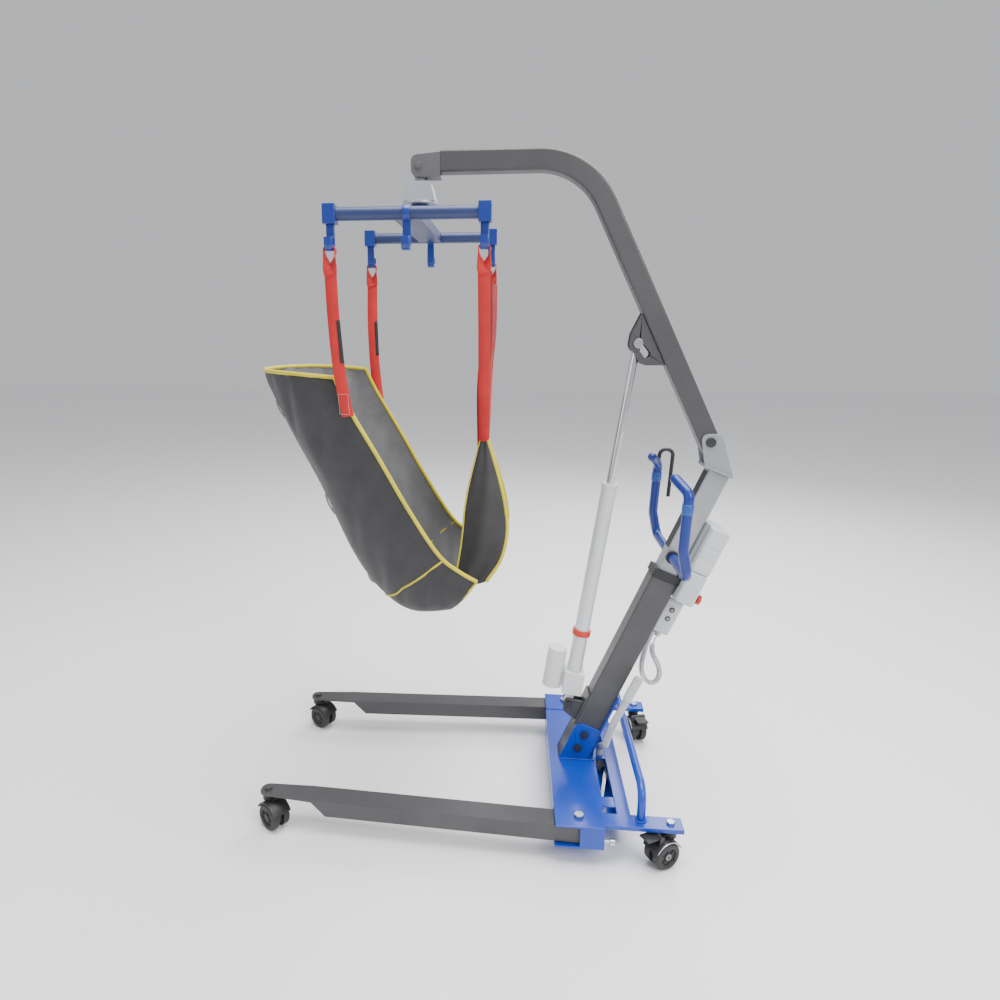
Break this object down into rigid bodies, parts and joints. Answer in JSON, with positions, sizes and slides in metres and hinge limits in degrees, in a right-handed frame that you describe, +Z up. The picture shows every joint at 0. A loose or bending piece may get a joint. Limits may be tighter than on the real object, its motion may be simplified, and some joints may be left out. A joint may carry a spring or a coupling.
{
  "type": "patient lift hoist",
  "caption": "Mobile patient lift with spreading legs on castors, a leaning mast, an electric lifting boom, a hooked spreader bar and a hanging sling.",
  "frame": {"origin": "on the floor under the middle of the hoist", "axes": "+Z up, -X forwards (the way the legs and the boom reach), -Y the left side of the hoist"},
  "size_m": [1.2618, 0.6987, 1.785],
  "materials": {
    "blue_paint": "gloss",
    "navy_paint": "satin",
    "grey_paint": "satin",
    "silver": "satin",
    "zinc_steel": "satin",
    "chrome_rod": "polished",
    "black_plastic": "matte",
    "light_plastic": "satin",
    "red_plastic": "gloss",
    "tyre": "matte",
    "cord": "matte",
    "sling_fabric": "matte",
    "red_webbing": "matte"
  },
  "bodies": {
    "base": {"base_deck": "blue_paint", "rear_frame": "blue_paint", "leg_pockets": "blue_paint", "base_bolts": "zinc_steel", "guard_tube": "blue_paint", "leg_stop_knobs": "zinc_steel", "mast_foot_bracket": "blue_paint", "mast_lower": "grey_paint", "mast_upper": "silver", "mast_bushes": "black_plastic", "mast_head": "silver", "mast_pins": "zinc_steel", "push_handles": "blue_paint", "handle_hook": "black_plastic", "actuator_mount": "grey_paint", "control_case": "light_plastic", "control_rails": "light_plastic", "cord_gland": "light_plastic"},
    "leg_left": {"leg_assembly_left": "grey_paint"},
    "leg_right": {"leg_assembly_right": "grey_paint"},
    "spread_lever": {"spread_lever": "silver", "lever_grip": "light_plastic"},
    "tie_rod_left": {"tie_rod_left": "zinc_steel"},
    "tie_rod_right": {"tie_rod_right": "zinc_steel"},
    "boom": {"boom_tube": "grey_paint", "boom_end": "grey_paint", "boom_lug": "grey_paint"},
    "actuator": {"actuator_housing": "light_plastic", "actuator_motor": "light_plastic", "actuator_barrel": "silver", "release_ring": "red_plastic"},
    "ram": {"lifting_ram": "chrome_rod"},
    "hanger": {"hanger": "silver"},
    "spreader": {"swivel": "zinc_steel", "cross_member": "navy_paint", "side_bars": "navy_paint", "end_blocks": "navy_paint", "sling_hooks": "blue_paint", "sling_body": "sling_fabric", "shoulder_straps": "red_webbing", "leg_straps": "red_webbing", "leg_flaps": "sling_fabric"},
    "battery": {"battery_pack": "light_plastic"},
    "stop_button": {"stop_button": "red_plastic"},
    "handset": {"handset_case": "light_plastic", "cord_relief": "light_plastic", "handset_cord": "cord"},
    "up_button": {"up_button": "black_plastic"},
    "down_button": {"down_button": "black_plastic"},
    "castor_front_left": {"castor_front_left": "black_plastic"},
    "wheels_front_left": {"castor_wheels_front_left": "tyre"},
    "castor_front_right": {"castor_front_right": "black_plastic"},
    "wheels_front_right": {"castor_wheels_front_right": "tyre"},
    "castor_rear_left": {"castor_rear_left": "black_plastic"},
    "wheels_rear_left": {"castor_wheels_rear_left": "tyre"},
    "brake_rear_left": {"brake_pedal_rear_left": "black_plastic"},
    "castor_rear_right": {"castor_rear_right": "black_plastic"},
    "wheels_rear_right": {"castor_wheels_rear_right": "tyre"},
    "brake_rear_right": {"brake_pedal_rear_right": "black_plastic"}
  },
  "joints": [
    {"name": "leg_spread", "type": "hinge", "parent": "base", "child": "leg_left", "pos_m": [0.24, -0.3, 0.059], "axis": [0, 0, 1], "range_deg": [0, 12]},
    {"name": "leg_right_spread", "type": "hinge", "parent": "base", "child": "leg_right", "pos_m": [0.24, 0.3, 0.059], "axis": [0, 0, 1], "range_deg": [-12.5, 0]},
    {"name": "lever_turn", "type": "hinge", "parent": "base", "child": "spread_lever", "pos_m": [0.326, 0, 0.11], "axis": [0, 0, 1], "range_deg": [0, 24]},
    {"name": "tie_rod_left_turn", "type": "hinge", "parent": "spread_lever", "child": "tie_rod_left", "pos_m": [0.35, 0, 0.082], "axis": [0, 0, 1], "range_deg": [-25, 0]},
    {"name": "tie_rod_right_turn", "type": "hinge", "parent": "spread_lever", "child": "tie_rod_right", "pos_m": [0.302, 0, 0.082], "axis": [0, 0, 1], "range_deg": [-25, 0]},
    {"name": "boom_lift", "type": "hinge", "parent": "base", "child": "boom", "pos_m": [0.56, 0, 1.05998], "axis": [0, 1, 0], "range_deg": [-60, 0], "deforming": ["sling_body"]},
    {"name": "actuator_tilt", "type": "hinge", "parent": "base", "child": "actuator", "pos_m": [0.22698, 0, 0.28003], "axis": [0, 1, 0], "range_deg": [-6.5, 0]},
    {"name": "ram_slide", "type": "slide", "parent": "actuator", "child": "ram", "axis": [0.1277, 0, 0.9918], "range_m": [-0.3057, 0]},
    {"name": "hanger_level", "type": "hinge", "parent": "boom", "child": "hanger", "pos_m": [-0.208, 0, 1.75], "axis": [0, 1, 0], "range_deg": [0, 60.2]},
    {"name": "spreader_swivel", "type": "hinge", "parent": "hanger", "child": "spreader", "pos_m": [-0.208, 0, 1.666], "axis": [0, 0, 1], "continuous": true},
    {"name": "battery_lift", "type": "slide", "parent": "base", "child": "battery", "axis": [0.3746, 0, 0.9272], "range_m": [0, 0.16]},
    {"name": "stop_press", "type": "slide", "parent": "base", "child": "stop_button", "axis": [-0.9272, 0, 0.3746], "range_m": [0, 0.005], "stiffness_N_per_m": 600},
    {"name": "handset_lift", "type": "slide", "parent": "base", "child": "handset", "axis": [0.9272, 0, -0.3746], "range_m": [0, 0.06]},
    {"name": "up_press", "type": "slide", "parent": "handset", "child": "up_button", "axis": [0, 1, 0], "range_m": [0, 0.0015], "stiffness_N_per_m": 500},
    {"name": "down_press", "type": "slide", "parent": "handset", "child": "down_button", "axis": [0, 1, 0], "range_m": [0, 0.0015], "stiffness_N_per_m": 500},
    {"name": "swivel_front_left", "type": "hinge", "parent": "leg_left", "child": "castor_front_left", "pos_m": [-0.60615, -0.26202, 0.1], "axis": [0, 0, 1], "continuous": true},
    {"name": "roll_front_left", "type": "hinge", "parent": "castor_front_left", "child": "wheels_front_left", "pos_m": [-0.58858, -0.27526, 0.0375], "axis": [0.6018, 0.7986, 0], "continuous": true},
    {"name": "swivel_rear_left", "type": "hinge", "parent": "base", "child": "castor_rear_left", "pos_m": [0.472, -0.3, 0.1], "axis": [0, 0, 1], "continuous": true},
    {"name": "roll_rear_left", "type": "hinge", "parent": "castor_rear_left", "child": "wheels_rear_left", "pos_m": [0.45295, -0.311, 0.0375], "axis": [0.5, -0.866, 0], "continuous": true},
    {"name": "brake_press_rear_left", "type": "hinge", "parent": "castor_rear_left", "child": "brake_rear_left", "pos_m": [0.43563, -0.321, 0.092], "axis": [0.5, -0.866, 0], "range_deg": [0, 12]},
    {"name": "swivel_front_right", "type": "hinge", "parent": "leg_right", "child": "castor_front_right", "pos_m": [-0.60615, 0.26202, 0.1], "axis": [0, 0, 1], "continuous": true},
    {"name": "roll_front_right", "type": "hinge", "parent": "castor_front_right", "child": "wheels_front_right", "pos_m": [-0.5871, 0.25102, 0.0375], "axis": [0.5, 0.866, 0], "continuous": true},
    {"name": "swivel_rear_right", "type": "hinge", "parent": "base", "child": "castor_rear_right", "pos_m": [0.472, 0.3, 0.1], "axis": [0, 0, 1], "continuous": true},
    {"name": "roll_rear_right", "type": "hinge", "parent": "castor_rear_right", "child": "wheels_rear_right", "pos_m": [0.47769, 0.27875, 0.0375], "axis": [0.9659, 0.2588, 0], "continuous": true},
    {"name": "brake_press_rear_right", "type": "hinge", "parent": "castor_rear_right", "child": "brake_rear_right", "pos_m": [0.48287, 0.25943, 0.092], "axis": [0.9659, 0.2588, 0], "range_deg": [0, 12]}
  ],
  "couplings": [
    {"joint": "leg_right_spread", "follows": "leg_spread", "ratio": -1},
    {"joint": "lever_turn", "follows": "leg_spread", "ratio": 1.957},
    {"joint": "tie_rod_left_turn", "follows": "leg_spread", "ratio": -1.957},
    {"joint": "tie_rod_right_turn", "follows": "leg_spread", "ratio": -1.957},
    {"joint": "actuator_tilt", "follows": "boom_lift", "ratio": 0.105},
    {"joint": "ram_slide", "follows": "boom_lift", "m_per_rad": 0.29},
    {"joint": "hanger_level", "follows": "boom_lift", "ratio": -1}
  ]
}
